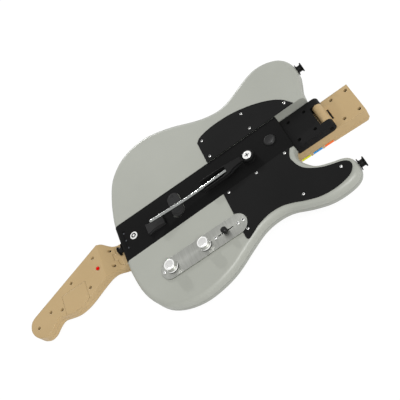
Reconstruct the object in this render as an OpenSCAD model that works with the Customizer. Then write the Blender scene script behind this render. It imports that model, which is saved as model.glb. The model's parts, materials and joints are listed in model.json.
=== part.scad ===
// Folding guitar-shaped game controller, folded for storage.
// Body frame: origin on the centre line where the body meets the neck heel, +X towards the hinge,
// +Y the bass side, z = 0 the flat top. The folded neck lies under the body, strings side down.

/* [Body] */
// Thickness of the body
body_t = 22.8; // [20:0.2:30]
// Height of the deeper top shell
top_shell_h = 15; // [13:0.5:17]
// Radius of the rounded top edge
edge_r = 8; // [6:0.5:9]
// Radius of the small rounding at the back edge
back_r = 2.2; // [1:0.2:3]
// Thickness of the shells' side walls
wall = 4; // [3:0.5:5]
// Thickness of the shells' flat faces
skin = 2.6; // [2:0.2:4]

/* [Centre strip and pickguards] */
// Half width of the strip at the neck end
strip_front_w = 32.4; // [30:0.2:34]
// Half width of the strip at the tail
strip_tail_w = 36; // [34:0.5:38]
// Depth of the strip's channel
strip_t = 2.2; // [1.5:0.1:2.4]
// Thickness of the pickguards
guard_t = 1.4; // [1:0.1:2]

/* [Controls] */
// Length of the metal control plate
plate_len = 150; // [145:1:154]
// Width of the control plate
plate_w = 33.5; // [31:0.5:36]
// Height of the plate's top above the body
plate_t = 2; // [1.5:0.1:2.5]
// Radius of the knobs at their skirt
knob_r = 9.8; // [8:0.1:10.5]
// Height of the knobs
knob_h = 11; // [8:0.5:13]
// Length of the strum bar along the body
strum_len = 31.6; // [30:1:36]
// Width of the strum bar
strum_w = 20; // [16:1:22]
// Height of the strum bar's ends above the strip
strum_h = 4.8; // [4:0.2:6]

/* [Neck] */
// Half width of the neck at its heel end
neck_heel_w = 30.5; // [29:0.1:30.6]
// Half width of the neck at the nut
neck_nut_w = 22.4; // [21:0.2:24]
// Thickness of the neck at its heel end
neck_t = 24.5; // [23:0.5:26]
// Angle between the neck's back and its fret face
neck_taper = 0.77; // [0.6:0.01:0.9]
// Angle by which the folded neck stops short of half a turn
fold_rest = 1; // [0.8:0.1:1]
// Thickness of the fretboard
board_t = 6.2; // [5.8:0.1:6.6]
// Thickness of the headstock
head_t = 17.8; // [16:0.1:18]
// Distance between the small fret pads
high_pitch = 19.9; // [19:0.1:21]
// Distance between the large fret pads
low_pitch = 31; // [30:0.5:32]
// Travel of every fret pad
pad_travel = 0.9; // [0.6:0.1:1]

/* [Hinge] */
// Hinge axis ahead of the body's neck end
hinge_x = 58.5; // [58:0.5:59]
// Radius of the hinge pin
pin_r = 3; // [2.5:0.1:3.5]
// Running clearance around the hinge pin
pin_gap = 0.06; // [0.03:0.01:0.09]
// Width of the neck's hinge knuckle
knuckle_w = 35; // [32:0.5:35.2]
// Top face of the heel block below the body's top
heel_top = 14; // [14:0.2:15]

/* [Hidden] */
$fn = 48;

sage = "#b1b3aa";
black = "#242424";
strip_black = "#1e1e1e";
tan_plastic = "#c2a87a";
steel = "#b4b5b0";

back_z = -body_t;
seam_z = -top_shell_h;
seam_gap = 0.9;
neck_back = -30;
fold_gap = 0.3;
hinge_z = (neck_back - heel_top + fold_gap) / 2;
lug_r = -heel_top - hinge_z;
fret_slope = tan(neck_taper);
heel_end = 113.8;
fret_z = neck_back - neck_t;
nut_x = -322;
rest_tilt = fold_rest + neck_taper;
head_back = -12.2;
head_seam = head_back - 10.5;
head_front = head_back - head_t;
plate_y = -93.4;
plate_x = -185;
knob_x = [-181, -240];
selector_x = -146;
strum_x = -239.5;
strum_y = -8.5;
rocker_x = -198;
rocker_y = 2;
round_x = -25;
round_y = 1;
home_x = -280.5;
light_x = -295.5;
whammy_x = -64;
whammy_y = -5.6;
strap_z = -12.6;
button_r = 5.2;
rod_r = 2.8;
rod_sides = 16;
rod_root_z = 6.8;
// Centre line of the whammy rod, from the arm to its tip
rod_points = [[-28.3, rod_root_z], [-39, rod_root_z], [-62, 6.4], [-86, 5.8], [-112, 5.8],
    [-136, 7.2], [-160, 9.3], [-178, 10.9]];
whammy_pin_x = -5;
whammy_pin_z = 5.2;
axle_z = -6.6;
// Shift from the body frame to the middle of the whole object's foot
middle = [193.07, -2.43];

// ---- frames ----

function fold(p) = [hinge_x + (p[0] - hinge_x) * cos(fold_rest) + (p[1] - hinge_z) * sin(fold_rest),
    hinge_z - (p[0] - hinge_x) * sin(fold_rest) + (p[1] - hinge_z) * cos(fold_rest)];
function lean(p) = p[0] * sin(rest_tilt) + p[1] * cos(rest_tilt);
foot_z = lean(fold([heel_end - 4, fret_z]));

module body_frame() {
    translate([middle[0], middle[1], -foot_z]) rotate([0, -rest_tilt, 0]) children();
}

module neck_frame() {
    body_frame() translate([hinge_x, 0, hinge_z]) rotate([0, fold_rest, 0])
        translate([-hinge_x, 0, -hinge_z]) children();
}

// ---- curves ----

curve_steps = 4;
function bend(a, b, c, d, t) = 0.5 * (2 * b + (c - a) * t + (2 * a - 5 * b + 4 * c - d) * t * t
    + (3 * b - 3 * c + d - a) * t * t * t);
function at(list, i) = list[max(0, min(len(list) - 1, i))];
// A smooth curve through open points
function open_curve(p, n = curve_steps) = concat([for (i = [0:len(p) - 2], k = [0:n - 1])
    bend(at(p, i - 1), p[i], p[i + 1], at(p, i + 2), k / n)], [p[len(p) - 1]]);
// A smooth curve through points that close into a ring
function ring_curve(p, n = curve_steps) = let (c = len(p)) [for (i = [0:c - 1], k = [0:n - 1])
    bend(p[(i + c - 1) % c], p[i], p[(i + 1) % c], p[(i + 2) % c], k / n)];
function unit(v) = v / norm(v);
// Move each point of a clockwise ring inwards
function inset(p, d) = let (c = len(p)) [for (i = [0:c - 1])
    let (t = unit(p[(i + 1) % c] - p[(i + c - 1) % c])) p[i] + d * [t[1], -t[0]]];

// Body outline, clockwise from the tail along the bass side; the part between the two pocket
// corners is cut away by the neck pocket
body_points = [[-308.8, 0], [-308, 38], [-305, 62], [-297.5, 94], [-284.5, 126.5], [-262, 150.5],
    [-236, 162.4], [-205, 165.5], [-178.6, 159.9], [-148, 148], [-113, 129.4], [-90, 120.1],
    [-69, 116.3], [-50, 119.8], [-32, 127.6], [-7, 139], [15, 143.8], [37, 139.4], [55, 127.5],
    [64.6, 109], [66.6, 88], [61.5, 70], [55, 53], [50, 28], [30, -8], [4, -27], [-4.6, -42],
    [-4.4, -57], [2, -71], [12, -83], [31.5, -91.6], [49, -98], [57.4, -109], [57.6, -124],
    [48, -136], [28, -140.9], [2, -140], [-25, -131], [-52, -118.2], [-75.6, -115.4],
    [-100, -119.6], [-126.5, -132.3], [-160, -149.8], [-192, -158.6], [-224, -160.2],
    [-256, -151.5], [-280, -133.5], [-299, -100], [-306.8, -60], [-308.4, -30]];
body_ring = ring_curve(body_points);

// Headstock and neck outline, clockwise from the nut's bass side round the tip and back;
// the neck itself is straight, and its nut sits a millimetre towards the treble side
bass_corner = [-350.5, 32.8];
head_flare = [[nut_x - 3, neck_nut_w - 1], [-331, 22.8], [-337.5, 27.4], [-343.5, 31.9], bass_corner];
head_scroll = [[-490, -20.8], [-498, -26.5], [-501.5, -38], [-499, -49], [-492, -58.8],
    [-480, -64.4], [-469, -62.2], [-460.5, -55.2], [-453.5, -50.2], [-446, -48.1], [-434, -51.4],
    [-424, -53.9], [-414, -54.6], [-400, -52.4], [-385, -46.9], [-366, -38], [-350, -31.6],
    [-338, -27.6], [-330, -25], [nut_x - 3, -neck_nut_w - 1]];
neck_ring = concat(open_curve(head_flare), open_curve(head_scroll),
    [[heel_end, -neck_heel_w], [heel_end, neck_heel_w]]);

// Pickguard outlines
bass_guard = concat([[-124, 33.92], [-124, 79.5]],
    open_curve([[-118, 86], [-105, 89.8], [-88, 91.6], [-66, 90.6], [-45, 87], [-18, 78],
    [5, 66], [22, 52], [34, 33.3]]), [[0.2, 33.3], [-0.2, 32.57]]);
treble_guard = concat([[-124, -33.92], [-6, -32.64]],
    open_curve([[-9.5, -38], [-13, -46], [-13.4, -54], [-8.7, -70.6], [1.2, -83], [19.4, -95.2],
    [41.4, -103.2], [49.6, -108.8], [52, -115], [49, -122.5], [40, -129.6], [20, -134],
    [-4, -132.6], [-25, -125], [-44, -115.4], [-60, -109.8], [-76, -108.8], [-88, -110.6],
    [-100, -114.6], [-110, -119.8], [-118, -124.2], [-121.2, -124.8], [-123.4, -123]]),
    [[-124, -120]]);

// ---- shared shapes ----

// A solid through rings of equal count, each ring at its own height
module loft(rings, heights) {
    c = len(rings[0]);
    levels = len(rings);
    points = [for (k = [0:levels - 1], p = rings[k]) [p[0], p[1], heights[k]]];
    sides = [for (k = [0:levels - 2], i = [0:c - 1])
        let (j = (i + 1) % c) [k * c + i, k * c + j, (k + 1) * c + j, (k + 1) * c + i]];
    bottom = [for (i = [c - 1:-1:0]) i];
    top = [for (i = [0:c - 1]) (levels - 1) * c + i];
    polyhedron(points, concat(sides, [bottom, top]));
}

// A closed tube through rings of three-dimensional points
module tube(rings) {
    c = len(rings[0]);
    last = len(rings) - 1;
    sides = [for (k = [0:last - 1], i = [0:c - 1])
        let (j = (i + 1) % c) [k * c + i, k * c + j, (k + 1) * c + j, (k + 1) * c + i]];
    polyhedron([for (r = rings, p = r) p],
        concat(sides, [[for (i = [c - 1:-1:0]) i], [for (i = [0:c - 1]) last * c + i]]));
}

// Last point of a rounding, carried on past the face that cuts it flat
function beyond(p, q) = q + 0.3 * (q - p);

// The whole body with its rounded edges, between two heights
module body_blank(bottom, top) {
    upper = [for (a = [0:22.5:90]) [edge_r * (1 - cos(a)), -edge_r + edge_r * sin(a)]];
    lower = [for (a = [90, 45, 0]) [back_r * (1 - cos(a)), back_z + back_r - back_r * sin(a)]];
    steps = concat([beyond(lower[1], lower[0]), lower[1], lower[2]],
        [for (k = [0:3]) upper[k]], [beyond(upper[3], upper[4])]);
    intersection() {
        loft([for (s = steps) inset(body_ring, s[0])], [for (s = steps) s[1]]);
        translate([-400, -250, bottom]) cube([800, 500, top - bottom]);
    }
}

// Cut for the neck, open into the treble cutaway
module pocket() {
    translate([0, -45, back_z - 10]) cube([80, 78, body_t + 20]);
}

// Plan of the centre strip, grown by d on its long sides
module strip_plan(d) {
    polygon([[-330, -strip_tail_w - d], [-330, strip_tail_w + d],
        [d, strip_front_w + d], [d, -strip_front_w - d]]);
}

module stadium(length, width, height) {
    for (s = [-1, 1]) translate([s * (length - width) / 2, 0, 0]) cylinder(h = height, d = width);
    translate([-(length - width) / 2, -width / 2, 0]) cube([length - width, width, height]);
}

module side_view(points, half) {
    translate([0, half, 0]) rotate([90, 0, 0]) linear_extrude(2 * half) polygon(points);
}

// Countersunk or raised screw standing on z = 0, driven downwards
module screw(head_r, head_h, shaft_r, shaft_len) {
    difference() {
        union() {
            cylinder(h = head_h, r1 = head_r, r2 = head_r * 0.72);
            translate([0, 0, -shaft_len]) cylinder(h = shaft_len + head_h / 2, r = shaft_r);
        }
        for (a = [0, 90]) rotate([0, 0, a])
            translate([-head_r * 0.45, -head_r * 0.1, head_h * 0.45])
                cube([head_r * 0.9, head_r * 0.2, head_h]);
    }
}

guard_screw_at = [[-115.5, 78], [-115.5, 42], [-41, 77], [-41, 42], [23, 43],
    [-115.5, -38], [-66, -37], [-16.5, -36.5], [-115.5, -110], [-24.5, -114], [38, -111]];
plate_screw_x = [-254.6, -163.4, -124.3, -115.4];
shell_screw_at = [[-280, 80], [-280, -80], [-200, 130], [-200, -130], [-90, 95], [-90, -95],
    [15, 115], [25, -115]];

module at_plate() {
    translate([plate_x, plate_y, 0]) children();
}

// ---- body shells ----

module top_shell() color(sage) body_frame() difference() {
    body_blank(seam_z, 0);
    // shadow gap along the seam
    translate([0, 0, seam_z - 1]) linear_extrude(1 + seam_gap) difference() {
        square(900, center = true);
        polygon(inset(body_ring, seam_gap));
    }
    pocket();
    // hollow inside, with a solid block around the neck pocket
    difference() {
        translate([0, 0, seam_z - 1]) linear_extrude(top_shell_h + 1 - skin - strip_t)
            polygon(inset(body_ring, wall));
        translate([-50, -45, seam_z - 2]) cube([130, 90, body_t]);
        translate([-320, -42, seam_z - 2]) cube([20, 84, body_t]);
        for (p = shell_screw_at) translate([p[0], p[1], seam_z - 2]) cylinder(h = 20, r = 5);
    }
    // channel of the centre strip, round the tail as well
    translate([0, 0, -strip_t]) linear_extrude(strip_t + 1) strip_plan(0.15);
    translate([-312, -strip_tail_w - 0.15, -5.1]) cube([8.5, 2 * strip_tail_w + 0.3, 20]);
    translate([-312, -strip_tail_w - 0.15, seam_z - 1]) cube([6.5, 2 * strip_tail_w + 0.3, 20]);
    // openings under the controls
    translate([strum_x, strum_y, -14]) cube([strum_len + 4, strum_w + 4, 30], center = true);
    for (p = [[rocker_x, rocker_y, 9], [round_x, round_y, 10], [home_x, 0, 5], [whammy_x, whammy_y, 4]])
        translate([p[0], p[1], -20]) cylinder(h = 30, r = p[2]);
    translate([light_x - 2, -18, -20]) cube([4, 36, 30]);
    for (x = knob_x) translate([x, plate_y, -20]) cylinder(h = 30, r = 5);
    translate([selector_x - 15, plate_y - 4, -20]) cube([30, 8, 30]);
    for (p = shell_screw_at) translate([p[0], p[1], seam_z - 1]) cylinder(h = 9, r = 1.5);
    for (p = guard_screw_at) translate([p[0], p[1], -6]) cylinder(h = 8, r = 1.1);
    for (x = plate_screw_x) translate([x, plate_y, -6]) cylinder(h = 8, r = 1.1);
    strap_holes();
}

module strap_holes() {
    translate([-314, 0, strap_z]) rotate([0, 90, 0]) cylinder(h = 16, r = 1.6);
    translate([48, -115.9, strap_z]) rotate([0, 90, 0]) cylinder(h = 20, r = 1.6);
    translate([56, 95.1, strap_z]) rotate([0, 90, 0]) cylinder(h = 20, r = 1.6);
}

module back_shell() color(sage) body_frame() difference() {
    body_blank(back_z, seam_z);
    pocket();
    difference() {
        translate([0, 0, back_z + skin]) linear_extrude(body_t) polygon(inset(body_ring, wall));
        translate([-50, -45, back_z - 1]) cube([130, 90, body_t]);
        for (p = shell_screw_at) translate([p[0], p[1], back_z - 1]) cylinder(h = 20, r = 5);
    }
    // seat of the heel block's tongue
    translate([-40.1, -20.1, back_z + skin]) cube([60, 40.2, body_t]);
    for (p = shell_screw_at) translate([p[0], p[1], back_z - 1]) {
        cylinder(h = 20, r = 1.7);
        cylinder(h = 3, r = 3.6);
    }
}

module shell_screws() color(steel) body_frame() for (p = shell_screw_at)
    translate([p[0], p[1], back_z + 2]) rotate([180, 0, 0]) screw(3.2, 1.8, 1.45, 12);

// Side view of the strip, which runs over the rounded tail and down to the seam
strip_tail_x = -308.5;
strip_side = concat([[20, 0]], [for (a = [90:11.25:180]) [strip_tail_x + edge_r + edge_r * cos(a),
    -edge_r + edge_r * sin(a)]], [[strip_tail_x, seam_z], [-305.8, seam_z], [-305.8, -5], [-303.7, -5],
    [-303.7, 0.05 - strip_t], [20, 0.05 - strip_t]]);

module centre_strip() color(strip_black) body_frame() difference() {
    intersection() {
        side_view(strip_side, 60);
        translate([0, 0, -30]) linear_extrude(60) strip_plan(0);
    }
    pocket();
    translate([strum_x, strum_y, 0]) cube([strum_len + 1.6, strum_w + 1.6, 20], center = true);
    translate([rocker_x, rocker_y, -10]) rotate([0, 0, 90]) stadium(46.4, 22.2, 20);
    translate([round_x, round_y, -10]) cylinder(h = 20, r = 9.9);
    translate([home_x, 0, -10]) cylinder(h = 20, r = 6.9);
    translate([light_x, 0, -0.7]) rotate([0, 0, 90]) stadium(38, 4.2, 20);
    for (y = [-14.5, 0, 14.5]) translate([light_x, y, -10]) cylinder(h = 20, r = 1.5);
    translate([whammy_x, whammy_y, -10]) cylinder(h = 20, r = 4.1);
    strap_holes();
}

module guard(points, lift) {
    translate([0, 0, lift]) linear_extrude(guard_t) polygon(points);
}

// Clearance holes with a shallow dish for each head
module guard_screw_holes() {
    for (p = guard_screw_at) translate([p[0], p[1], 0]) {
        translate([0, 0, -1]) cylinder(h = 5, r = 1.3);
        translate([0, 0, guard_t - 0.68]) cylinder(h = 2, r = 3.4);
    }
}

module bass_pickguard() color(black) body_frame() difference() {
    guard(bass_guard, 0.02);
    guard_screw_holes();
}

module treble_pickguard() color(black) body_frame() difference() {
    guard(treble_guard, 0.02);
    at_plate() translate([0, 0, -1]) stadium(plate_len + 0.8, plate_w + 0.8, 5);
    guard_screw_holes();
}

module pickguard_screws() color(steel) body_frame() for (p = guard_screw_at)
    translate([p[0], p[1], guard_t - 0.65]) screw(2.5, 1.3, 1.05, 5.4);

// ---- controls ----

module control_plate() color(steel) body_frame() difference() {
    at_plate() translate([0, 0, 0.02]) stadium(plate_len, plate_w, plate_t);
    for (x = knob_x) translate([x, plate_y, -1]) cylinder(h = 5, r = 3.6);
    translate([selector_x, plate_y, -1]) stadium(26, 1.6, 5);
    for (x = plate_screw_x) translate([x, plate_y, -1]) cylinder(h = 5, r = 1.3);
}

module plate_screws() color(steel) body_frame() for (x = plate_screw_x)
    translate([x, plate_y, plate_t + 0.03]) screw(2.8, 1.2, 1.05, 6);

// Potentiometer: can, bushing through the plate and a shaft for the knob
module pot(x) color(steel) body_frame() translate([x, plate_y, 0]) {
    translate([0, 0, -13]) cylinder(h = 7, r = 8);
    translate([0, 0, -6.5]) cylinder(h = 8.4, r = 3.5);
    translate([0, 0, 1]) cylinder(h = 8, r = 2.5);
}

module volume_pot() pot(knob_x[0]);
module tone_pot() pot(knob_x[1]);

module knob(x) color("#d8d8d4") body_frame() translate([x, plate_y, plate_t + 0.5]) difference() {
    union() {
        cylinder(h = 1.6, r = knob_r);
        translate([0, 0, 1.5]) cylinder(h = knob_h - 2.5, r1 = knob_r - 0.5, r2 = knob_r - 1.1);
        translate([0, 0, knob_h - 1.1]) cylinder(h = 1.1, r1 = knob_r - 1.1, r2 = knob_r - 1.9);
    }
    translate([0, 0, -1]) cylinder(h = 8.6, r = 2.55);
    translate([0, 0, -1]) cylinder(h = 2.4, r = 4.2);
}

module volume_knob() knob(knob_x[0]);
module tone_knob() knob(knob_x[1]);

module selector_switch() color("#3a3a3a") body_frame() translate([selector_x, plate_y, 0])
    difference() {
        translate([-14, -3.5, -14]) cube([28, 7, 13]);
        translate([-12, -1.2, -12]) cube([24, 2.4, 20]);
    }

// The lever turns on the switch below the plate
module selector_lever() color("#161616") body_frame() translate([selector_x, plate_y, 0]) {
    translate([-1, -0.55, -9]) cube([2, 1.1, 13]);
    translate([0, 0, 3.2]) cylinder(h = 1, r1 = 4.1, r2 = 4.75);
    translate([0, 0, 4.2]) cylinder(h = 5.2, r = 4.75);
    translate([0, 0, 9.4]) cylinder(h = 1.5, r1 = 4.75, r2 = 3);
    translate([0, 0.9, -9]) rotate([90, 0, 0]) cylinder(h = 1.8, r = 1.9);
}

module home_button() color("white") body_frame() translate([home_x, 0, 0]) {
    translate([0, 0, -1.2]) cylinder(h = 1.6, r = 6.4);
    translate([0, 0, -5.5]) cylinder(h = 4.4, r = 3.2);
}

module round_button() color(black) body_frame() translate([round_x, round_y, 0]) difference() {
    union() {
        translate([0, 0, -2]) cylinder(h = 2.6, r = 9.4);
        translate([0, 0, 0.6]) cylinder(h = 1.4, r1 = 9.4, r2 = 7.8);
        translate([0, 0, -5.5]) cylinder(h = 3.6, r = 4);
    }
    translate([0, 0, 32]) sphere(r = 31, $fn = 96);
}

module ring(outer, inner) difference() {
    cylinder(h = 2, r = outer);
    translate([0, 0, -1]) cylinder(h = 4, r = inner);
}

// Two-way pad that rocks about a line along the body
module rocker_pad() color(black) body_frame() translate([rocker_x, rocker_y, 0]) {
    rotate([0, 0, 90]) difference() {
        translate([0, 0, -0.9]) stadium(45, 20.8, 2.2);
        // shallow ring at one end and an arc at the other, to tell them apart by touch
        translate([16.5, 0, 0.8]) ring(2.4, 1.5);
        intersection() {
            translate([-10.6, 0, 0.8]) ring(8.6, 7.1);
            translate([-20.6, -10, 0]) cube([6.4, 20, 4]);
        }
    }
    translate([0, 0, -4.8]) cylinder(h = 4, r = 3);
}

module strum_bar() color(black) body_frame() translate([strum_x, strum_y, 0]) difference() {
    union() {
        translate([-strum_len / 2, -strum_w / 2, -2]) cube([strum_len, strum_w, 2 + strum_h]);
        translate([-strum_len / 2, 0, axle_z]) rotate([0, 90, 0]) cylinder(h = strum_len, r = 3.6);
        translate([-strum_len / 2, -2.4, axle_z]) cube([strum_len, 4.8, -axle_z]);
    }
    // the top dips between its ends and both long sides are waisted
    translate([0, strum_w, strum_h + 82.4]) rotate([90, 0, 0]) cylinder(h = 2 * strum_w, r = 84, $fn = 96);
    for (s = [-1, 1]) translate([0, s * (strum_w / 2 + 37), 0.6]) cylinder(h = 10, r = 40.6, $fn = 96);
    translate([-strum_len, 0, axle_z]) rotate([0, 90, 0]) cylinder(h = 2 * strum_len, r = 1.55);
}

module strum_axle() color(steel) body_frame()
    translate([strum_x - strum_len / 2 - 1.9, strum_y, axle_z]) rotate([0, 90, 0])
        cylinder(h = strum_len + 3.8, r = 1.5);

module strum_switches() color("#303030") body_frame() for (s = [-1, 1])
    translate([strum_x - 6, strum_y + s * 16 - 3, -12.4]) cube([12, 6, 6]);

module light_window() color("#6a6c70") body_frame() {
    for (y = [-14.5, 0, 14.5]) translate([light_x, y, -3]) cylinder(h = 2.9, r = 1.45);
    translate([light_x - 1.8, -17.5, -3.6]) cube([3.6, 35, 1.2]);
}

module main_board() color("#1f5b35") body_frame() difference() {
    translate([-292, -30, -14.6]) cube([230, 60, 1.6]);
    translate([strum_x, strum_y, -14]) cube([strum_len + 8, 24, 6], center = true);
    for (p = shell_screw_at) translate([p[0], p[1], -20]) cylinder(h = 20, r = 5.5);
}

// ---- whammy bar ----

module whammy_base() color(black) body_frame() translate([whammy_x, whammy_y, 0]) difference() {
    union() {
        translate([0, 0, 0.02]) cylinder(h = 2.4, r = 10.6);
        translate([0, 0, -6]) cylinder(h = 6.5, r = 4);
    }
    translate([0, 0, -4]) cylinder(h = 9, r = 2.56);
}

// The turret swivels on the base and carries the cross pin of the arm
module whammy_turret() color(black) body_frame() translate([whammy_x, whammy_y, 0]) {
    difference() {
        union() {
            translate([0, 0, 2.6]) cylinder(h = 6.8, r = 10.4);
            translate([0, 0, -3.6]) cylinder(h = 7, r = 2.5);
        }
        translate([-20, -4.2, 3.2]) cube([19, 8.4, 10]);
        translate([0, 0, 8.4]) cylinder(h = 3, r = 7.2);
    }
    translate([whammy_pin_x, 0, whammy_pin_z]) rotate([90, 0, 0])
        cylinder(h = 9, r = 1.2, center = true);
}

module whammy_cap() color("white") body_frame() translate([whammy_x, whammy_y, 8.45])
    difference() {
        cylinder(h = 1.5, r = 7);
        for (a = [0, 90]) rotate([0, 0, a]) translate([-3.4, -0.7, 0.8]) cube([6.8, 1.4, 2]);
    }

// Outline of the arm, which spreads from the turret into two rails beside the rod
arm_foot = [[-8, 5.4], [-24, 7.4], [-40, 9.8], [-56, 10.8], [-82, 10.8], [-82, 7.8], [-46, 7.2],
    [-46, -7.2], [-82, -7.8], [-82, -10.8], [-38, -10.8], [-33, -10], [-26, -7.6], [-18, -6],
    [-8, -5.4]];
arm_top = [[-8, 4.6], [-24, 6.6], [-40, 8.9], [-56, 10], [-82, 10], [-82, 8.4], [-45, 7.8],
    [-38.6, 6.2], [-38.6, -5], [-45, -8], [-82, -8.4], [-82, -10], [-40, -10], [-34, -8.4],
    [-27, -5.4], [-18, -4.3], [-8, -4.3]];

// Arm that cradles the root of the rod
module whammy_arm() color(black) body_frame() translate([whammy_x, whammy_y, 0]) difference() {
    union() {
        translate([-16, -4, 3.8]) cube([13.4, 8, 3]);
        translate([-16, -4, 3.8]) cube([7.6, 8, 5.2]);
        difference() {
            union() {
                translate([0, 0, 3.6]) linear_extrude(3.1) polygon(arm_foot);
                translate([0, 0, 6.6]) linear_extrude(3.5) polygon(arm_top);
            }
            translate([0, 0, -1]) cylinder(h = 20, r = 11.4);
        }
    }
    translate([-38.7, 0, rod_root_z]) rotate([0, 90, 0]) cylinder(h = 10.5, r = rod_r + 0.03);
    translate([-60, 0, rod_root_z]) rotate([0, 90, 0]) cylinder(h = 21.4, r = rod_r + 0.6);
    translate([whammy_pin_x, 0, whammy_pin_z]) rotate([90, 0, 0])
        cylinder(h = 30, r = 1.26, center = true);
}

// Round rod that dips beyond the rails and rises to its tip
module whammy_rod() color("#d0d0d0") body_frame() translate([whammy_x, whammy_y, 0]) {
    path = open_curve(rod_points, 3);
    tip = path[len(path) - 1];
    rings = [for (p = concat([for (q = path) [q[0], q[1], rod_r]],
        [[tip[0] - 1.2, tip[1] + 0.1, rod_r * 0.8], [tip[0] - 1.8, tip[1] + 0.15, rod_r * 0.45]]))
        [for (i = [0:rod_sides - 1]) let (a = 360 * i / rod_sides)
            [p[0], p[2] * cos(a), p[1] + p[2] * sin(a)]]];
    tube(rings);
}

// ---- hinge ----

module heel_block() color(black) body_frame() difference() {
    union() {
        difference() {
            side_view([[0, -heel_top], [hinge_x, -heel_top], [hinge_x, hinge_z - lug_r],
                [0, hinge_z - lug_r + hinge_x * tan(fold_rest)]], 30.8);
            translate([48.2, -knuckle_w / 2 - 0.3, -60]) cube([40, knuckle_w + 0.6, 80]);
        }
        for (s = [-1, 1]) translate([hinge_x, s * (30.8 + knuckle_w / 2 + 0.3) / 2, hinge_z])
            rotate([90, 0, 0]) cylinder(h = 30.8 - knuckle_w / 2 - 0.3, r = lug_r, center = true);
        translate([-40, -20, back_z + skin + 0.1]) cube([41, 40, 5]);
    }
    translate([hinge_x, 40, hinge_z]) rotate([90, 0, 0]) cylinder(h = 80, r = pin_r);
    for (x = [11.1, 38.6], s = [-1, 1]) translate([x, s * 19.6, -heel_top - 3.4]) {
        cylinder(h = 10, r = 2.6);
        translate([0, 0, -8]) cylinder(h = 20, r = 1.5);
    }
}

module heel_screws() color("#3a3a3a") body_frame() for (x = [11.1, 38.6], s = [-1, 1])
    translate([x, s * 19.6, -heel_top - 3.35]) screw(2.4, 1.6, 1.45, 7);

module hinge_pin() color(steel) body_frame() translate([hinge_x, 0, hinge_z]) rotate([90, 0, 0])
    cylinder(h = 61, r = pin_r, center = true);

// ---- strap buttons ----

// Spool on the X axis, its base at the origin
module spool() rotate([0, 90, 0]) difference() {
    union() {
        cylinder(h = 1.4, r = 9);
        translate([0, 0, 1.4]) cylinder(h = 1, r1 = 6.2, r2 = button_r);
        cylinder(h = 7.4, r = button_r);
        translate([0, 0, 7.2]) cylinder(h = 1, r1 = button_r, r2 = 7.8);
        translate([0, 0, 8.2]) cylinder(h = 1.6, r = 7.8);
    }
    translate([0, 0, -1]) cylinder(h = 20, r = 1.7);
    translate([0, 0, 8]) cylinder(h = 1.9, r1 = 1.7, r2 = 4.2);
}

module at_tail() translate([-308.9, 0, strap_z]) mirror([1, 0, 0]) children();
module at_horn() translate([58.9, -115.9, strap_z]) children();
module at_shoulder() translate([67, 95.1, strap_z]) children();

module tail_strap_button() color(black) body_frame() at_tail() spool();
module horn_strap_button() color(black) body_frame() at_horn() spool();
module shoulder_strap_button() color(black) body_frame() at_shoulder() spool();

module strap_screw() rotate([0, 90, 0]) translate([0, 0, 8.1]) {
    cylinder(h = 1.2, r1 = 1.6, r2 = 3.2);
    translate([0, 0, -15.8]) cylinder(h = 16, r = 1.5);
}

module strap_screws() color(steel) body_frame() {
    at_tail() strap_screw();
    at_horn() strap_screw();
    at_shoulder() strap_screw();
}

// ---- neck ----

// Height of the fret face at x
function face_z(x) = fret_z + fret_slope * (heel_end - 4 - x);

seam_curve = [[nut_x, face_z(nut_x) + board_t], [-331, -34.5], [-341, -26], [-350, head_seam]];
back_curve = [[nut_x, neck_back], [-329, -27], [-337, -21.4], [-344, -16.2], [-350.2, head_back]];
front_curve = [[nut_x, face_z(nut_x)], [-327, -44.6], [-332, -38.6], [-339, -32.6], [-349, head_front]];
function flip(list) = [for (i = [len(list) - 1:-1:0]) list[i]];

module neck_plan(d = 0) {
    translate([0, 0, -80]) linear_extrude(90) polygon(d == 0 ? neck_ring : inset(neck_ring, d));
}

high_x = [for (i = [0:4]) 44.3 - (4 - i) * high_pitch];
low_x = [for (i = [0:4]) -298 + i * low_pitch];
high_len = 15.5;
low_len = 26;
// Lower and upper face of the pads above the fret face
pad_bottom = 0.9;
pad_top = 4.4;

neck_screw_at = [[81.5, 21.8, 0], [81.5, -21.8, 0], [107, 21.8, 0], [107, -21.8, 0],
    [-336, 15.1, 8.2], [-336, -15.1, 8.2], [-363.2, 14.4, 17.8], [-381.8, -32.3, 17.8],
    [-412.1, -3.6, 17.8], [-439.4, -38, 17.8], [-460.4, -29.9, 17.8], [-487.6, -43.1, 17.8]];
light_at = [-359.8, -8.8];
bay_y = -44.4;

module neck_shell() color(tan_plastic) neck_frame() difference() {
    union() {
        intersection() {
            side_view(concat([[heel_end, neck_back]], open_curve(back_curve),
                [[-510, head_back], [-510, head_seam]], flip(open_curve(seam_curve)),
                [[heel_end, face_z(heel_end) + board_t]]), 80);
            neck_plan();
        }
        translate([hinge_x, 0, hinge_z]) rotate([90, 0, 0])
            cylinder(h = knuckle_w, r = lug_r - 0.05, center = true);
        translate([hinge_x - lug_r + 0.05, -knuckle_w / 2, neck_back - 1])
            cube([2 * lug_r - 0.1, knuckle_w, 1 + hinge_z - neck_back]);
    }
    translate([hinge_x, 0, hinge_z]) rotate([90, 0, 0])
        cylinder(h = 80, r = pin_r + pin_gap, center = true);
    // room for the boards and the battery
    translate([-306, -16, -60]) cube([356, 32, 27]);
    translate([-433.2, bay_y, -40]) cube([45.4, 25.6, 60]);
    battery_door_blank(0.15);
    for (p = neck_screw_at) translate([p[0], p[1], neck_back + p[2] - 5]) {
        cylinder(h = 20, r = 2.7);
        translate([0, 0, -30]) cylinder(h = 40, r = 1.5);
    }
    translate([light_at[0], light_at[1], head_back - 20]) cylinder(h = 40, r = 2.6);
    translate([light_at[0], light_at[1], head_back + 23.4]) sphere(r = 24.6, $fn = 96);
    translate([67.6, -10.6, neck_back - 4]) cube([2.6, 21.2, 10]);
    slide_panel_blank(0.2, -2.1);
}

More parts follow.
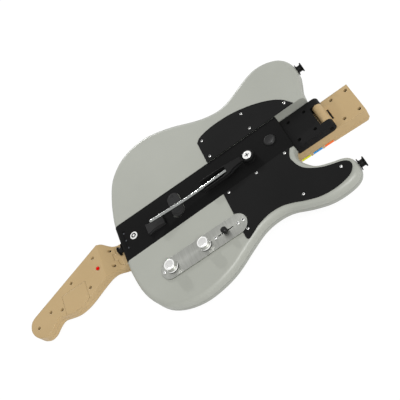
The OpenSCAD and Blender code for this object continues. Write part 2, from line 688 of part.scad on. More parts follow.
// Panel let into the neck's back behind the nut, its end stepped round a tab
module slide_panel_blank(gap, floor) {
    intersection() {
        side_view(concat([[-262 + gap, neck_back + floor]],
            [for (p = open_curve(back_curve)) [p[0], p[1] + floor]],
            [for (p = flip(open_curve(back_curve))) [p[0], p[1] + gap - 0.1]],
            [[-262 + gap, neck_back + gap - 0.1]]), 40);
        translate([0, 0, -60]) linear_extrude(80) offset(delta = gap) polygon([[-328.4, 17.2],
            [-328.2, 7.6], [-333.2, 7.2], [-333, -5.2], [-328, -5.5], [-328, -12.6], [-325.4, -17.2],
            [-321, -19.4], [-262, -19.4], [-262, 17.2]]);
    }
}

module slide_panel() color(tan_plastic) neck_frame() slide_panel_blank(0, -2);

module latch_keeper() color("#141414") neck_frame()
    translate([67.7, -10.5, neck_back - 3.9]) cube([2.4, 21, 3.2]);

module fretboard() color(tan_plastic) neck_frame() difference() {
    intersection() {
        side_view([[nut_x, face_z(nut_x)], [nut_x, face_z(nut_x) + board_t - 0.02],
            [heel_end, face_z(heel_end) + board_t - 0.02], [heel_end - 0.4, face_z(heel_end) + board_t - 1],
            [heel_end - 4, fret_z]], 80);
        neck_plan();
    }
    // a notch right across for each fret pad, and a slot for its stem
    for (x = high_x) notch(x, high_len);
    for (x = low_x) notch(x, low_len);
    for (x = [62.5, 79.5, -59, -82, -107, -133]) translate([x, -40, face_z(x) - 5]) cube([0.8, 80, 5.5]);
}

module notch(x, length) {
    translate([x - length / 2 - 0.3, -40, face_z(x) - 5])
        cube([length + 0.6, 80, 5.1 + pad_top + pad_travel]);
    translate([x - 5, -10, face_z(x) - 5]) cube([10, 20, 20]);
}

module headstock_face() color(tan_plastic) neck_frame() difference() {
    intersection() {
        side_view(concat([for (p = open_curve(seam_curve)) [p[0] - 0.1, p[1] - 0.05]],
            [[-510, head_seam - 0.05], [-510, head_front]],
            [for (p = flip(open_curve(front_curve))) [p[0] - 0.1, p[1]]]), 80);
        neck_plan();
    }
    translate([-433.2, bay_y, head_front + 2.2]) cube([45.4, 25.6, 60]);
    for (p = neck_screw_at) if (p[0] < 0)
        translate([p[0], p[1], neck_back + p[2] - 10.8]) cylinder(h = 30, r = 1.3);
}

module battery_pack() color("#3c5a86") neck_frame() for (i = [0, 1])
    translate([-432.8, bay_y + 6.2 + i * 13, head_back - 8]) rotate([0, 90, 0]) cylinder(h = 44.5, r = 5.25);

// Door over the battery bay, whose treble side is the headstock's own edge
module battery_door_blank(gap) {
    translate([-433.9 - gap, -60, head_back - 2 - gap]) cube([46.3 + 2 * gap, 44.6 + gap, 2 + 2 * gap]);
}

module battery_door() color(tan_plastic) neck_frame() intersection() {
    battery_door_blank(0);
    neck_plan();
}

module power_light() color("#c80000") neck_frame() translate([light_at[0], light_at[1], 0]) {
    translate([0, 0, head_back - 6]) cylinder(h = 4.6, r = 2.5);
    translate([0, 0, head_back - 1.4]) sphere(r = 2.5);
}

module neck_screws() color("#5a4c36") neck_frame() for (p = neck_screw_at)
    translate([p[0], p[1], neck_back + p[2] - 4.9]) screw(2.5, 1.5, 1.25, 5.6);

module neck_board() color("#1f5b35") neck_frame() translate([-298, -15.5, -36.6]) cube([338, 31, 1.6]);

module fret_mat() color("#8a8a86") neck_frame() translate([-296, -14, -38.2]) cube([334, 28, 1.5]);

module pad(x, length, shade) color(shade) neck_frame() intersection() {
    union() {
        translate([x - length / 2, -40, face_z(x) + pad_bottom])
            cube([length, 80, pad_top - pad_bottom]);
        translate([x - 4.6, -9.6, face_z(x) + pad_bottom]) cube([9.2, 19.2, 8.2]);
    }
    neck_plan(0.2);
}

pad_colours = ["#2f9a48", "#c8202a", "#cfd41f", "#1f82c6", "#f0641e"];
module low_green_pad() pad(low_x[0], low_len, pad_colours[0]);
module low_red_pad() pad(low_x[1], low_len, pad_colours[1]);
module low_yellow_pad() pad(low_x[2], low_len, pad_colours[2]);
module low_blue_pad() pad(low_x[3], low_len, pad_colours[3]);
module low_orange_pad() pad(low_x[4], low_len, pad_colours[4]);
module high_green_pad() pad(high_x[0], high_len, pad_colours[0]);
module high_red_pad() pad(high_x[1], high_len, pad_colours[1]);
module high_yellow_pad() pad(high_x[2], high_len, pad_colours[2]);
module high_blue_pad() pad(high_x[3], high_len, pad_colours[3]);
module high_orange_pad() pad(high_x[4], high_len, pad_colours[4]);

top_shell();
back_shell();
centre_strip();
bass_pickguard();
treble_pickguard();
control_plate();
volume_pot();
tone_pot();
selector_switch();
plate_screws();
pickguard_screws();
shell_screws();
light_window();
main_board();
strum_switches();
strum_axle();
whammy_base();
heel_block();
heel_screws();
hinge_pin();
tail_strap_button();
horn_strap_button();
shoulder_strap_button();
strap_screws();
home_button();
round_button();
rocker_pad();
strum_bar();
volume_knob();
tone_knob();
selector_lever();
whammy_turret();
whammy_cap();
whammy_arm();
whammy_rod();
neck_shell();
fretboard();
headstock_face();
neck_board();
fret_mat();
battery_pack();
battery_door();
power_light();
neck_screws();
latch_keeper();
slide_panel();
low_green_pad();
low_red_pad();
low_yellow_pad();
low_blue_pad();
low_orange_pad();
high_green_pad();
high_red_pad();
high_yellow_pad();
high_blue_pad();
high_orange_pad();
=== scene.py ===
import json
import math
import bmesh
import bpy
from mathutils import Matrix, Vector

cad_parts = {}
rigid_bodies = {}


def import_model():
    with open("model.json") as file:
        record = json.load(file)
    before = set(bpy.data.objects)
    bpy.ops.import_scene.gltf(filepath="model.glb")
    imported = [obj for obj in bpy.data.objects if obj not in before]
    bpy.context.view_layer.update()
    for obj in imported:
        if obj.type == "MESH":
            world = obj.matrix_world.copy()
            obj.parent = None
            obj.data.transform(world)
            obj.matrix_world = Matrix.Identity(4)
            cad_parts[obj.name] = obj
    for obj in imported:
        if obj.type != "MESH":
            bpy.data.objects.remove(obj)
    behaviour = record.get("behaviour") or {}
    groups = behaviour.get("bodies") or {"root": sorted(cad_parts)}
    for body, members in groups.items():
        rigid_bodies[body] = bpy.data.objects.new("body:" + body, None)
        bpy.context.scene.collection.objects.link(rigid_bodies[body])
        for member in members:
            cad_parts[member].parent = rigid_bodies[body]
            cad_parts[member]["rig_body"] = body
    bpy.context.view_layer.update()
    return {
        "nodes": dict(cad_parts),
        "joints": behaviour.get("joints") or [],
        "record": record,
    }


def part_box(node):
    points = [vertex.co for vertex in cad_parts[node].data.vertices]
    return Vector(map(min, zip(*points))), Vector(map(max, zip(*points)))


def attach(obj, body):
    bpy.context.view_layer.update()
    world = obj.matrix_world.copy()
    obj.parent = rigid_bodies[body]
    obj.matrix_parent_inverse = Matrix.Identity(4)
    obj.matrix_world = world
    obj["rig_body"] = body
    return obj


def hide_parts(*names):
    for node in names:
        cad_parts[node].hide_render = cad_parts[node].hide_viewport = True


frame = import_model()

# Folding guitar-shaped game controller, folded for storage.
# Everything is in metres; sizes written in millimetres are multiplied by mm.
mm = 0.001
nodes = frame["nodes"]
joints = {joint["name"]: joint for joint in frame["joints"]}
slots = {part["node"]: part["material_slot"] for part in frame["record"]["subparts"]}
scene = bpy.context.scene
scene.view_settings.view_transform = "Standard"

# The body's face leans a little, because the folded neck is what lies on the table
bodyUp = Vector(joints["volume_turn"]["axis"]).normalized()
bodyAlong = Vector((bodyUp.z, 0, -bodyUp.x))
neckUp = Vector(joints["low_green_press"]["axis"]).normalized()
neckAlong = Vector((neckUp.z, 0, -neckUp.x))
across = Vector((0, 1, 0))
hinge = Vector(joints["neck_fold"]["pos_m"])


# Places in millimetres, as the body and the neck measure them from the neck end of the body
pin = {"ahead": 58.5, "below": 21.85, "middle": -2.43}


def measured(point, along, up):
    away = (point - hinge) / mm
    return away.dot(along) + pin["ahead"], point.y / mm - pin["middle"], away.dot(up) - pin["below"]


def bodyPlace(point):
    return measured(point, bodyAlong, bodyUp)


# ---- camera, floor and light ----

view = {
    "place": (0.201797, -0.63433, 0.805619),
    "azimuth": -15.372,
    "elevation": 49.974,
    "roll": -45.542,
    "focalLength": 59.41,
    "sensor": 36,
}


def makeCamera():
    data = bpy.data.cameras.new("camera")
    data.lens = view["focalLength"]
    data.sensor_width = view["sensor"]
    data.clip_end = 20
    camera = bpy.data.objects.new("camera", data)
    azimuth, elevation = math.radians(view["azimuth"]), math.radians(view["elevation"])
    ahead = Vector((math.sin(azimuth) * math.cos(elevation),
                    math.cos(azimuth) * math.cos(elevation), -math.sin(elevation)))
    level = ahead.cross(Vector((0, 0, 1))).normalized()
    upright = level.cross(ahead)
    turn = math.radians(view["roll"])
    right = level * math.cos(turn) + upright * math.sin(turn)
    up = upright * math.cos(turn) - level * math.sin(turn)
    pose = Matrix((right, up, -ahead)).transposed().to_4x4()
    pose.translation = Vector(view["place"])
    camera.matrix_world = pose
    scene.collection.objects.link(camera)
    scene.camera = camera


makeCamera()
print("camera placed")


# ---- nodes for materials ----

def srgb(hexText):
    parts = [int(hexText[i:i + 2], 16) / 255 for i in (1, 3, 5)]
    return (*[c / 12.92 if c <= 0.04045 else ((c + 0.055) / 1.055) ** 2.4 for c in parts], 1)


def addNode(tree, kind, settings=None, inputs=None):
    node = tree.nodes.new(kind)
    for name, value in (settings or {}).items():
        setattr(node, name, value)
    for name, value in (inputs or {}).items():
        if isinstance(value, bpy.types.NodeSocket):
            tree.links.new(value, node.inputs[name])
        else:
            node.inputs[name].default_value = value
    return node


def startMaterial(name):
    material = bpy.data.materials.new(name)
    material.use_nodes = True
    tree = material.node_tree
    return material, tree, tree.nodes["Principled BSDF"]


# ---- stage ----

light = {
    "skyLevel": 0.44,
    "floorSize": 6.0,
    "floorDrop": 0.2,  # mm below the object, so that the two faces don't meet
    "floorGrey": 0.9,
    # the floor seen directly is mostly its own glow, and the rest of it takes the shadow
    "floorWhite": 0.86,
    "floorGlow": 1.06,
    # a low hard lamp behind the bass side and a soft main lamp on the treble side
    "lamps": [
        {"name": "low_lamp", "strength": 0.90, "elevation": 17, "azimuth": 104, "softness": 3.0},
        {"name": "main_lamp", "strength": 1.95, "elevation": 50, "azimuth": -62, "softness": 34},
    ],
}


def makeStage():
    world = bpy.data.worlds.new("studio")
    scene.world = world
    world.use_nodes = True
    tree = world.node_tree
    tree.nodes.clear()
    rays = addNode(tree, "ShaderNodeLightPath")
    # seen directly or in metal and glass the studio is white, but it lights the object less
    seen = addNode(tree, "ShaderNodeMath", {"operation": "ADD"},
                   {0: rays.outputs["Is Camera Ray"], 1: rays.outputs["Is Transmission Ray"]})
    seen = addNode(tree, "ShaderNodeMath", {"operation": "ADD", "use_clamp": True},
                   {0: seen.outputs[0], 1: rays.outputs["Is Glossy Ray"]})
    level = addNode(tree, "ShaderNodeMapRange", None,
                    {"Value": seen.outputs[0], "To Min": light["skyLevel"], "To Max": 1.0})
    sky = addNode(tree, "ShaderNodeBackground", None,
                  {"Color": (1, 1, 1, 1), "Strength": level.outputs["Result"]})
    addNode(tree, "ShaderNodeOutputWorld", None, {"Surface": sky.outputs[0]})

    mesh = bpy.data.meshes.new("studio_floor")
    half = light["floorSize"] / 2
    mesh.from_pydata([(-half, -half, 0), (half, -half, 0), (half, half, 0), (-half, half, 0)],
                     [], [(0, 1, 2, 3)])
    floor = bpy.data.objects.new("studio_floor", mesh)
    floor.location.z = -light["floorDrop"] * mm
    scene.collection.objects.link(floor)
    material, tree, shader = startMaterial("white studio floor")
    shader.inputs["Base Color"].default_value = (*[light["floorGrey"]] * 3, 1)
    shader.inputs["Roughness"].default_value = 0.9
    rays = addNode(tree, "ShaderNodeLightPath")
    glow = addNode(tree, "ShaderNodeEmission", None,
                   {"Color": (1, 1, 1, 1), "Strength": light["floorGlow"]})
    share = addNode(tree, "ShaderNodeMath", {"operation": "MULTIPLY"},
                    {0: rays.outputs["Is Camera Ray"], 1: light["floorWhite"]})
    mixed = addNode(tree, "ShaderNodeMixShader", None,
                    {0: share.outputs[0], 1: shader.outputs[0], 2: glow.outputs[0]})
    tree.links.new(mixed.outputs[0], tree.nodes["Material Output"].inputs["Surface"])
    mesh.materials.append(material)

    for wanted in light["lamps"]:
        lamp = bpy.data.lights.new(wanted["name"], "SUN")
        lamp.energy = wanted["strength"]
        lamp.angle = math.radians(wanted["softness"])
        lampStand = bpy.data.objects.new(wanted["name"], lamp)
        rise, way = math.radians(wanted["elevation"]), math.radians(wanted["azimuth"])
        toLight = Vector((math.cos(way) * math.cos(rise), math.sin(way) * math.cos(rise),
                          math.sin(rise)))
        lampStand.rotation_euler = toLight.to_track_quat("Z", "Y").to_euler()
        scene.collection.objects.link(lampStand)


makeStage()
print("stage lit")


# ---- materials ----

# Injection-moulded plastic: a fine spark-eroded grain gives a soft sheen, and the
# colour drifts slightly where the melt flowed. The grain is drawn at about 1 mm to show.
# A soft edge shades the mould's broad corner radius.
def mouldedPlastic(name, colour, drift, roughness, grain=1.0, depth=0.012, gloss=0.5, coat=0.0,
                   softEdge=0.0):
    material, tree, shader = startMaterial(name)
    place = addNode(tree, "ShaderNodeTexCoord").outputs["Object"]
    flow = addNode(tree, "ShaderNodeTexNoise", None,
                   {"Vector": place, "Scale": 1 / (70 * mm), "Detail": 3.0, "Roughness": 0.5})
    drifted = addNode(tree, "ShaderNodeMapRange", None,
                      {"Value": flow.outputs["Fac"], "From Min": 0.3, "From Max": 0.7})
    shade = addNode(tree, "ShaderNodeMix", {"data_type": "RGBA"},
                    {"Factor": drifted.outputs["Result"], "A": srgb(colour), "B": srgb(drift)})
    tree.links.new(shade.outputs["Result"], shader.inputs["Base Color"])
    grit = addNode(tree, "ShaderNodeTexNoise", None,
                   {"Vector": place, "Scale": 1 / (grain * mm), "Detail": 4.0, "Roughness": 0.6})
    sheen = addNode(tree, "ShaderNodeMapRange", None,
                    {"Value": grit.outputs["Fac"], "From Min": 0.3, "From Max": 0.7,
                     "To Min": roughness - 0.04, "To Max": roughness + 0.05})
    tree.links.new(sheen.outputs["Result"], shader.inputs["Roughness"])
    bump = addNode(tree, "ShaderNodeBump", None,
                   {"Strength": 0.25, "Distance": depth * mm, "Height": grit.outputs["Fac"]})
    tree.links.new(bump.outputs["Normal"], shader.inputs["Normal"])
    if softEdge > 0:
        rounded = addNode(tree, "ShaderNodeBevel", {"samples": 8}, {"Radius": softEdge * mm})
        tree.links.new(rounded.outputs["Normal"], bump.inputs["Normal"])
    shader.inputs["IOR"].default_value = 1.5
    shader.inputs["Specular IOR Level"].default_value = gloss
    shader.inputs["Coat Weight"].default_value = coat
    shader.inputs["Coat Roughness"].default_value = 0.08
    return material


# Rolled steel plate brushed across its length: long fine scratches every half millimetre
# stretch the highlights and leave faint bands.
def brushedPlate(name, colour, band):
    material, tree, shader = startMaterial(name)
    place = addNode(tree, "ShaderNodeTexCoord").outputs["Object"]
    squeeze = addNode(tree, "ShaderNodeMapping", None,
                      {"Vector": place, "Rotation": (0, 0, math.radians(12)),
                       "Scale": (1 / (1.6 * mm), 1 / (30 * mm), 1 / (30 * mm))})
    scratch = addNode(tree, "ShaderNodeTexNoise", None,
                      {"Vector": squeeze.outputs[0], "Scale": 1.0, "Detail": 5.0, "Roughness": 0.65})
    banded = addNode(tree, "ShaderNodeMapRange", None,
                     {"Value": scratch.outputs["Fac"], "From Min": 0.3, "From Max": 0.7})
    shade = addNode(tree, "ShaderNodeMix", {"data_type": "RGBA"},
                    {"Factor": banded.outputs["Result"], "A": srgb(colour), "B": srgb(band)})
    tree.links.new(shade.outputs["Result"], shader.inputs["Base Color"])
    sheen = addNode(tree, "ShaderNodeMapRange", None,
                    {"Value": scratch.outputs["Fac"], "From Min": 0.3, "From Max": 0.7,
                     "To Min": 0.38, "To Max": 0.50})
    tree.links.new(sheen.outputs["Result"], shader.inputs["Roughness"])
    bump = addNode(tree, "ShaderNodeBump", None,
                   {"Strength": 0.25, "Distance": 0.02 * mm, "Height": scratch.outputs["Fac"]})
    tree.links.new(bump.outputs["Normal"], shader.inputs["Normal"])
    shader.inputs["Metallic"].default_value = 1.0
    shader.inputs["Anisotropic"].default_value = 0.4
    return material


# Polished or plated metal: nearly mirror-like, with a faint unevenness from handling
def polishedMetal(name, colour, drift, roughness, smudge=12.0):
    material, tree, shader = startMaterial(name)
    place = addNode(tree, "ShaderNodeTexCoord").outputs["Object"]
    cloud = addNode(tree, "ShaderNodeTexNoise", None,
                    {"Vector": place, "Scale": 1 / (smudge * mm), "Detail": 4.0, "Roughness": 0.6})
    spread = addNode(tree, "ShaderNodeMapRange", None,
                     {"Value": cloud.outputs["Fac"], "From Min": 0.3, "From Max": 0.7})
    shade = addNode(tree, "ShaderNodeMix", {"data_type": "RGBA"},
                    {"Factor": spread.outputs["Result"], "A": srgb(colour), "B": srgb(drift)})
    tree.links.new(shade.outputs["Result"], shader.inputs["Base Color"])
    sheen = addNode(tree, "ShaderNodeMapRange", None,
                    {"Value": cloud.outputs["Fac"], "From Min": 0.3, "From Max": 0.7,
                     "To Min": roughness, "To Max": roughness * 1.6 + 0.02})
    tree.links.new(sheen.outputs["Result"], shader.inputs["Roughness"])
    shader.inputs["Metallic"].default_value = 1.0
    return material


# Solder-masked fibreglass board: dark green with paler copper tracks a few millimetres apart
def circuitBoard(name):
    material, tree, shader = startMaterial(name)
    place = addNode(tree, "ShaderNodeTexCoord").outputs["Object"]
    cells = addNode(tree, "ShaderNodeTexBrick", None,
                    {"Vector": place, "Scale": 1 / (14 * mm), "Mortar Size": 0.04,
                     "Color1": srgb("#1a4c2c"), "Color2": srgb("#1f5b35"),
                     "Mortar": srgb("#3c7f4f")})
    tree.links.new(cells.outputs["Color"], shader.inputs["Base Color"])
    shader.inputs["Roughness"].default_value = 0.35
    bump = addNode(tree, "ShaderNodeBump", None,
                   {"Strength": 0.3, "Distance": 0.04 * mm, "Height": cells.outputs["Fac"]})
    tree.links.new(bump.outputs["Normal"], shader.inputs["Normal"])
    return material


materials = {
    "body_shell": mouldedPlastic("sage ABS, satin moulded", "#a5a79e", "#a9aba2", 0.35, 1.2, 0.008),
    "back_shell": mouldedPlastic("grey-sage ABS, satin moulded", "#9c9e96", "#a0a29a", 0.40, 1.2, 0.010),
    "strip_plastic": mouldedPlastic("black ABS strip, fine matt",
                                    "#131313", "#161616", 0.50, 0.9, 0.015, 0.03),
    "guard_plastic": mouldedPlastic("black ABS pickguard, satin",
                                    "#1c1c1c", "#1f1f1f", 0.45, 1.0, 0.012, 0.03),
    "brushed_plate": brushedPlate("steel plate, cross-brushed", "#9fa09b", "#8e8f8a"),
    "switch_metal": polishedMetal("plated switch steel", "#a8a8a2", "#9a9a94", 0.3),
    "switch_plastic": mouldedPlastic("black acetal, turned smooth",
                                     "#101010", "#151515", 0.35, 1.0, 0.012, 0.2),
    "screw_steel": polishedMetal("zinc-plated screw steel", "#dededa", "#cfcfca", 0.22, 3),
    "dark_screw": polishedMetal("black-oxide screw steel", "#191919", "#121212", 0.45, 2),
    "light_lens": mouldedPlastic("smoked clear acrylic", "#3c3e42", "#44464a", 0.2, 0.6, 0.004, 0.3),
    "circuit_board": circuitBoard("solder-masked board"),
    "black_plastic": mouldedPlastic("black ABS, satin moulded",
                                    "#151515", "#181818", 0.38, 1.0, 0.012, 0.08),
    "button_plastic": mouldedPlastic("dark grey ABS, satin moulded",
                                     "#232323", "#272727", 0.38, 1.0, 0.012, 0.15),
    "white_plastic": mouldedPlastic("white ABS, polished mould",
                                    "#f0f0ee", "#e8e8e5", 0.18, 0.8, 0.004, 0.5, 0.4),
    "bright_screw": polishedMetal("chromed screw", "#fafaf8", "#f0f0ee", 0.10, 4),
    "knob_metal": polishedMetal("turned aluminium, polished", "#f6f6f4", "#ececea", 0.14, 6),
    "chrome_rod": polishedMetal("chromed steel rod", "#9a9c9a", "#909290", 0.10, 10),
    "tan_plastic": mouldedPlastic("tan ABS, satin moulded", "#c0a578", "#ba9f72", 0.34, 1.1, 0.010, 0.4,
                                  softEdge=2.2),
    "tan_screws": polishedMetal("dull browned screw steel", "#4a3d2a", "#3c3121", 0.5, 2),
    "silicone": mouldedPlastic("grey silicone rubber", "#8c8c87", "#95958f", 0.62, 0.8),
    "battery_wrap": mouldedPlastic("shrink film over cells", "#3c5a86", "#456494", 0.2, 3, 0.05, 0.5, 0.5),
    "red_lens": mouldedPlastic("diffusing red lens", "#d40000", "#dc0505", 0.35, 0.6, 0.002, 0.05),
    "green_pad": mouldedPlastic("green ABS pad", "#2f9a48", "#349f4d", 0.3),
    "red_pad": mouldedPlastic("red ABS pad", "#c8202a", "#ce2831", 0.3),
    "yellow_pad": mouldedPlastic("yellow ABS pad", "#dfe012", "#e4e520", 0.3),
    "blue_pad": mouldedPlastic("blue ABS pad", "#1c8cd4", "#2693d9", 0.3),
    "orange_pad": mouldedPlastic("orange ABS pad", "#fa6a12", "#fc721c", 0.3),
}
spunTop = polishedMetal("spun aluminium, satin", "#cececc", "#c6c6c4", 0.30, 5)
# Black used as print on the home button, and as painted shade in the cap screw's recess
blackPrintAndShade = mouldedPlastic("black print and painted recess shade", "#0b0b0b", "#101010", 0.6, 0.6, 0.004, 0.1)
# Black for a thin ring under each knob: painted shade in the gap between knob and plate
knobGapShade = mouldedPlastic("black ring as painted shade under a knob", "#0d0d0d", "#151515", 0.9, 0.6, 0.06, 0.1)
for name, node in nodes.items():
    node.data.materials.clear()
    node.data.materials.append(materials[slots[name]])
print("materials made:", len(materials))


# ---- pieces ----

def addPiece(name, mesh, body, slotName, replaced=()):
    data = bpy.data.meshes.new(name)
    mesh.to_mesh(data)
    mesh.free()
    piece = bpy.data.objects.new(name, data)
    scene.collection.objects.link(piece)
    data.materials.append(materials[slotName])
    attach(piece, body)
    if replaced:
        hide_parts(*replaced)
    return piece


# Moves a mesh built around the origin, Z up, onto a place of the body's face
def standOn(mesh, place, up=None):
    up = up or bodyUp
    turn = Matrix((Vector((up.z, 0, -up.x)), across, up)).transposed().to_4x4()
    turn.translation = place
    mesh.transform(turn)


weldGap = 0.003


# A moulded or turned part with its own edges rounded: a welded copy of the node's mesh
# with flat faces kept whole, rounded edges and shading that follows the larger faces.
# share(edge) gives the part of the rounding that an edge takes, from 0 to 1
def finished(name, rounding=0.0, segments=2, sharpest=30, share=None):
    mesh = bmesh.new()
    mesh.from_mesh(nodes[name].data)
    bmesh.ops.remove_doubles(mesh, verts=mesh.verts, dist=weldGap * mm)
    bmesh.ops.dissolve_limit(mesh, angle_limit=math.radians(0.5), verts=mesh.verts,
                             edges=mesh.edges)
    weights = mesh.edges.layers.float.new("bevel_weight_edge")
    for face in mesh.faces:
        face.smooth = True
    for edge in mesh.edges:
        isSharp = edge.calc_face_angle(0) > math.radians(sharpest)
        part = (share(edge) if share else 1.0) if isSharp and rounding > 0 else 0.0
        edge[weights] = part
        edge.smooth = part > 0 or not isSharp
    piece = addPiece(name + "_finished", mesh, nodes[name]["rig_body"], slots[name], [name])
    if rounding > 0:
        bevel = piece.modifiers.new("edges", "BEVEL")
        bevel.limit_method = "WEIGHT"
        bevel.width = rounding * mm
        bevel.segments = segments
        bevel.use_clamp_overlap = False
    shading = piece.modifiers.new("shading", "WEIGHTED_NORMAL")
    shading.keep_sharp = True
    return piece


# The shells meet in a fine groove, and the edges of the strip's channel are softened
shells = {"rounding": 0.3, "stripRounding": 0.5, "channel": 0.4, "seamAt": -15.0,
          "guardsFrom": -124.5, "near": 0.1}


def shellShare(edge):
    places = [bodyPlace(v.co) for v in edge.verts]
    if all(abs(z - shells["seamAt"]) < shells["near"] for x, y, z in places):
        return 1.0
    isBare = all(x < shells["guardsFrom"] for x, y, z in places)
    isRim = all(abs(z) < shells["near"] for x, y, z in places)
    return shells["channel"] if isBare and isRim else 0.0


finished("top_shell", shells["rounding"], 2, 30, shellShare)
finished("back_shell", shells["rounding"], 2, 30, shellShare)
finished("centre_strip", shells["stripRounding"], 2, 30, shellShare)

# Only the upper edges of the pickguards are softened
pickguards = {"rounding": 0.3, "above": 1}


def guardShare(edge):
    return 1.0 if all(bodyPlace(v.co)[2] > pickguards["above"] for v in edge.verts) else 0.0


for side in ("bass", "treble"):
    finished(side + "_pickguard", pickguards["rounding"], 2, 30, guardShare)

# How far each part's edges are rounded in mm, and the steps that the rounding takes
edges = {
    "control_plate": (0.35, 3), "heel_block": (0.6, 2),
    "neck_shell": (0.2, 2), "headstock_face": (0.2, 2), "battery_door": (0.2, 2),
    "fretboard": (0.3, 2), "slide_panel": (0.3, 2),
    "whammy_base": (0.4, 2), "whammy_turret": (1.2, 3), "whammy_arm": (0.4, 2),
    "rocker_pad": (0.4, 2), "round_button": (0.5, 2), "strum_bar": (0.7, 3),
    "home_button": (0.4, 2), "selector_lever": (0.3, 2),
    "plate_screws": (0.35, 2), "pickguard_screws": (0.35, 2),
}
for name, (rounding, steps) in edges.items():
    finished(name, rounding, steps)

strapButtons = {"rounding": 0.6, "steps": 3}
for button in ("tail", "horn", "shoulder"):
    finished(button + "_strap_button", strapButtons["rounding"], strapButtons["steps"])

fretPads = {"rounding": 0.4}
for height in ("low", "high"):
    for colour in ("green", "red", "yellow", "blue", "orange"):
        finished(f"{height}_{colour}_pad", fretPads["rounding"])
print("finished moulded pieces")


# The cap screw's cross recess is painted black: painted shade where the recess lies in shade
capScrew = {"rounding": 0.4, "recessReach": 3.6, "recessTop": 9.9}


def makeCapScrew():
    cap = finished("whammy_cap", capScrew["rounding"])
    cap.data.materials.append(blackPrintAndShade)
    low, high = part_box("whammy_cap")
    centre = bodyPlace((Vector(low) + Vector(high)) / 2)
    for face in cap.data.polygons:
        x, y, z = bodyPlace(face.center)
        reach = math.hypot(x - centre[0], y - centre[1])
        # faces deep inside the cross recess take the painted shade
        if reach < capScrew["recessReach"] and z < capScrew["recessTop"]:
            face.material_index = 1


makeCapScrew()


# The whammy rod, drawn round from its sixteen-sided tube; angles are in degrees
rod = {"flatWithin": 8, "shapeWithin": 40, "endAngle": 60, "levels": 2}


def makeRod():
    mesh = bmesh.new()
    mesh.from_mesh(nodes["whammy_rod"].data)
    bmesh.ops.remove_doubles(mesh, verts=mesh.verts, dist=weldGap * mm)
    bmesh.ops.join_triangles(mesh, faces=mesh.faces, angle_face_threshold=math.radians(rod["flatWithin"]),
                             angle_shape_threshold=math.radians(rod["shapeWithin"]))
    for face in mesh.faces:
        face.smooth = True
    creases = mesh.edges.layers.float.new("crease_edge")
    for edge in mesh.edges:
        edge[creases] = 1.0 if edge.calc_face_angle(0) > math.radians(rod["endAngle"]) else 0.0
    drawn = addPiece("whammy_rod_drawn", mesh, "whammy_bar", "chrome_rod", ["whammy_rod"])
    rounder = drawn.modifiers.new("rounder", "SUBSURF")
    rounder.levels = rounder.render_levels = rod["levels"]


makeRod()
print("whammy bar made")


def lathe(profile, steps):
    mesh = bmesh.new()
    rings = []
    for radius, height in profile:
        if radius == 0:
            rings.append([mesh.verts.new((0, 0, height * mm))])
            continue
        rings.append([mesh.verts.new((radius * mm * math.cos(2 * math.pi * i / steps),
                                      radius * mm * math.sin(2 * math.pi * i / steps), height * mm))
                      for i in range(steps)])
    for first, second in zip(rings, rings[1:]):
        for i in range(steps):
            j = (i + 1) % steps
            if len(first) == 1:
                mesh.faces.new((first[0], second[i], second[j]))
            elif len(second) == 1:
                mesh.faces.new((first[i], second[0], first[j]))
            else:
                mesh.faces.new((first[i], second[i], second[j], first[j]))
    for face in mesh.faces:
        face.smooth = True
    return mesh


# Knobs turned from bar: a satin dish inside a polished rim. A thin black ring under each knob is painted
# shade in the gap between knob and plate
knob = {"belowJoint": 2.5, "steps": 64, "dishRadius": 6.5, "shadeRingDrop": 0.45}
knobProfile = [(0, 10.4), (4.4, 10.42), (5.8, 10.5), (6.4, 10.6), (6.8, 10.9), (7.5, 11.0),
               (8.2, 10.8), (8.6, 10.3), (8.75, 9.4), (9.0, 4.8), (9.2, 2.2), (9.65, 1.9),
               (9.8, 1.6), (9.8, 0.9), (9.5, 0.5), (4.2, 0.45)]
shadeRingProfile = [(3.8, 0), (3.8, 0.42), (9.3, 0.42), (9.6, 0.3), (9.6, 0)]


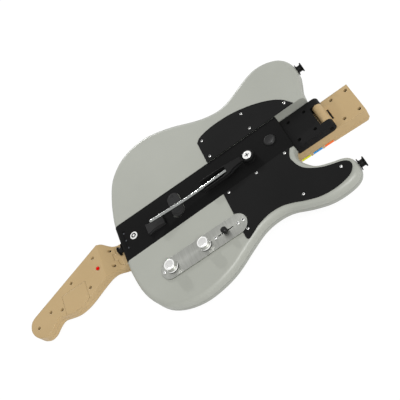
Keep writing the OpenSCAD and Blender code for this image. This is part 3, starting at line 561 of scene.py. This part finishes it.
def makeKnob(name):
    foot = Vector(joints[name + "_turn"]["pos_m"]) + bodyUp * -knob["belowJoint"] * mm
    mesh = lathe(knobProfile, knob["steps"])
    for face in mesh.faces:
        if all(math.hypot(v.co.x, v.co.y) < knob["dishRadius"] * mm for v in face.verts):
            face.material_index = 1
    standOn(mesh, foot)
    turned = addPiece(name + "_knob_turned", mesh, name + "_knob", "knob_metal", [name + "_knob"])
    turned.data.materials.append(spunTop)
    # the black ring under the knob is painted shade in the gap
    mesh = lathe(shadeRingProfile, knob["steps"])
    standOn(mesh, foot - bodyUp * knob["shadeRingDrop"] * mm)
    shadeRing = addPiece(name + "_knob_shade_ring", mesh, "guitar_body", "strip_plastic")
    shadeRing.data.materials[0] = knobGapShade


for name in ("volume", "tone"):
    makeKnob(name)
print("knobs turned")

# A plain ring printed on the home button
homeRing = {"height": 0.42, "steps": 48}
homeRingProfile = [(2.0, 0), (2.0, 0.05), (4.1, 0.05), (4.1, 0)]


def makeHomeRing():
    low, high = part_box("home_button")
    centre = (Vector(low) + Vector(high)) / 2
    rise = homeRing["height"] - bodyPlace(centre)[2]
    mesh = lathe(homeRingProfile, homeRing["steps"])
    standOn(mesh, centre + bodyUp * rise * mm)
    ring = addPiece("home_button_ring", mesh, "home_button", "white_plastic")
    ring.data.materials[0] = blackPrintAndShade


makeHomeRing()
print("home button marked")

# A black sheet 0.12 mm thick over the wall above the heel block: painted shade on that wall
wallShade = {"reach": 0.12, "halfWidth": 32.3, "bottom": -13.9, "top": -0.25}


def makeWallShadeSheet():
    front = hinge - bodyAlong * pin["ahead"] * mm + bodyUp * pin["below"] * mm
    front.y = pin["middle"] * mm
    mesh = bmesh.new()
    bmesh.ops.create_cube(mesh, size=1.0)
    for v in mesh.verts:
        along = (v.co.x + 0.5) * wallShade["reach"]
        side = v.co.y * 2 * wallShade["halfWidth"]
        height = wallShade["top"] if v.co.z > 0 else wallShade["bottom"]
        v.co = front + (bodyAlong * along + across * side + bodyUp * height) * mm
    # the black sheet is painted shade on the wall, not a part of the strip
    addPiece("wall_shade_sheet", mesh, "guitar_body", "strip_plastic")


makeWallShadeSheet()

# The power light's lens is a low dome over its hole
lightLens = {"seat": -12.2, "steps": 40}
lightLensProfile = [(0, 0.75), (1.2, 0.7), (2.2, 0.5), (2.9, 0.22), (3.15, 0.04), (3.15, 0)]


def makeLightLens():
    low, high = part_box("power_light")
    centre = (Vector(low) + Vector(high)) / 2
    rise = lightLens["seat"] - measured(centre, neckAlong, neckUp)[2]
    mesh = lathe(lightLensProfile, lightLens["steps"])
    standOn(mesh, centre + neckUp * rise * mm, neckUp)
    addPiece("power_light_lens", mesh, "neck", "red_lens")


makeLightLens()
print("wall shade sheet and power light made")
